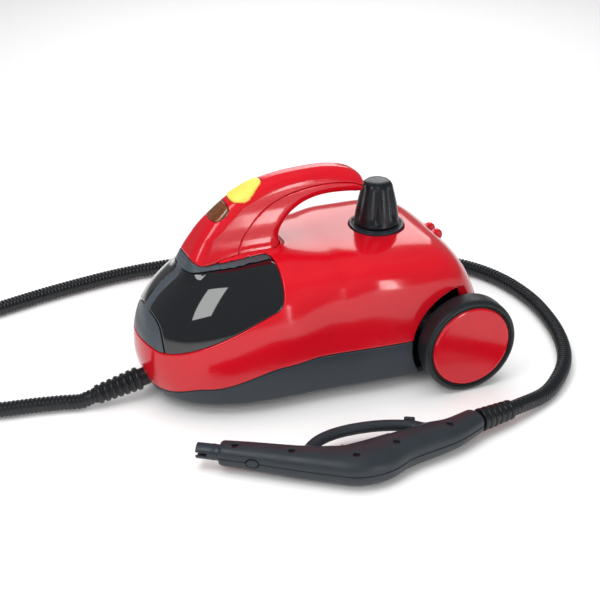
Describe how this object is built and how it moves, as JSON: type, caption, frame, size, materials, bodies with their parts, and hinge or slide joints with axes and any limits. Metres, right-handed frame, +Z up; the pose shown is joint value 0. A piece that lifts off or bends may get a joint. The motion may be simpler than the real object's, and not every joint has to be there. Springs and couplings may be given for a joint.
{
  "type": "canister steam cleaner",
  "caption": "Canister steam cleaner on wheels with a carrying handle, filler cap, corrugated steam hose and trigger steam gun.",
  "frame": {"origin": "centre of the object's own footprint, without the hose, on the surface it stands on", "axes": "+X from the nose to the tail of the machine, +Y away from the steam gun, +Z up"},
  "size_m": [0.7754, 0.5475, 0.242],
  "materials": {
    "red_gloss": "glossy, smooth",
    "black_gloss": "high gloss, dark translucent look",
    "dark_rim": "satin",
    "base_grey": "satin",
    "tyre": "satin, smooth tread",
    "gun_grey": "fine satin grain",
    "hose_grey": "satin, corrugated",
    "yellow": "satin gloss",
    "amber": "glossy, translucent look",
    "steel": "brushed",
    "brass": "satin",
    "rubber": "matte",
    "board": "matte",
    "white": "matte"
  },
  "bodies": {
    "machine": {"base_shell": "base_grey", "upper_casing": "red_gloss", "visor_frame": "dark_rim", "visor_window_left": "black_gloss", "visor_window_right": "black_gloss", "handle_cover": "red_gloss", "handle_grip": "red_gloss", "indicator_lens": "amber", "switch_module": "white", "boiler_lower": "steel", "boiler_upper": "steel", "heating_element": "steel", "thermostat": "white", "pressure_switch": "white", "relief_valve": "brass", "boiler_bracket_left": "steel", "boiler_bracket_right": "steel", "solenoid_valve": "brass", "solenoid_coil": "black_gloss", "steam_pipe_rise": "brass", "steam_pipe_run": "brass", "control_board": "board", "terminal_block": "white", "filler_collar": "base_grey", "axle_clip_left": "steel", "axle_clip_right": "steel", "rear_axle": "steel", "caster_housing": "base_grey", "hose_gland": "hose_grey", "mains_cord_gland": "hose_grey", "steam_hose": "hose_grey"},
    "power_button": {"power_button": "yellow"},
    "cap_carrier": {"cap_seal": "rubber"},
    "cap": {"cap_knob": "base_grey", "cap_core": "brass"},
    "wheel_left": {"wheel_tyre_left": "tyre", "wheel_rim_left": "base_grey", "wheel_disc_left": "red_gloss"},
    "wheel_right": {"wheel_tyre_right": "tyre", "wheel_rim_right": "base_grey", "wheel_disc_right": "red_gloss"},
    "caster": {"caster_fork": "steel", "caster_pin": "steel"},
    "caster_wheel": {"caster_wheel": "tyre"},
    "gun": {"gun_shell_upper": "gun_grey", "gun_shell_lower": "gun_grey", "gun_screw_1": "steel", "gun_screw_2": "steel", "gun_screw_3": "steel", "gun_screw_4": "steel", "gun_screw_5": "steel", "trigger_pin": "steel", "micro_switch": "white", "nozzle_socket": "base_grey", "gun_steam_tube": "brass", "gun_strain_relief": "hose_grey"},
    "gun_trigger": {"gun_trigger": "base_grey", "trigger_spring": "steel"},
    "trigger_lock": {"trigger_lock": "gun_grey"},
    "nozzle_release": {"nozzle_release": "base_grey"}
  },
  "joints": [
    {"name": "wheel_left_spin", "type": "hinge", "parent": "machine", "child": "wheel_left", "pos_m": [0.1629, -0.0447, 0.055], "axis": [0, 1, 0], "continuous": true},
    {"name": "wheel_right_spin", "type": "hinge", "parent": "machine", "child": "wheel_right", "pos_m": [0.1629, 0.1813, 0.055], "axis": [0, 1, 0], "continuous": true},
    {"name": "caster_swivel", "type": "hinge", "parent": "machine", "child": "caster", "pos_m": [-0.1051, 0.0683, 0.022], "axis": [0, 0, 1], "continuous": true},
    {"name": "caster_wheel_spin", "type": "hinge", "parent": "caster", "child": "caster_wheel", "pos_m": [-0.1101, 0.0683, 0.009], "axis": [0, 1, 0], "continuous": true},
    {"name": "cap_rise", "type": "slide", "parent": "machine", "child": "cap_carrier", "axis": [0, 0, 1], "range_m": [0, 0.0045]},
    {"name": "cap_turn", "type": "hinge", "parent": "cap_carrier", "child": "cap", "pos_m": [0.1039, 0.0683, 0.18], "axis": [0, 0, 1], "range_deg": [0, 720]},
    {"name": "power_press", "type": "slide", "parent": "machine", "child": "power_button", "axis": [0.4051, 0, -0.9143], "range_m": [0, 0.0025], "stiffness_N_per_m": 300},
    {"name": "gun_lift", "type": "slide", "parent": "machine", "child": "gun", "axis": [0, 0, 1], "range_m": [0, 0.1]},
    {"name": "trigger_squeeze", "type": "hinge", "parent": "gun", "child": "gun_trigger", "pos_m": [-0.0311, -0.1477, 0.018], "axis": [0, 0, -1], "range_deg": [0, 7], "stiffness_Nm_per_rad": 0.8},
    {"name": "trigger_lock_slide", "type": "slide", "parent": "gun", "child": "trigger_lock", "axis": [0.866, -0.5, 0], "range_m": [0, 0.004]},
    {"name": "nozzle_release_press", "type": "slide", "parent": "gun", "child": "nozzle_release", "axis": [0.5591, 0.8291, 0], "range_m": [0, 0.002], "stiffness_N_per_m": 400}
  ],
  "couplings": [
    {"joint": "cap_rise", "follows": "cap_turn", "m_per_rad": 0.00031831}
  ]
}
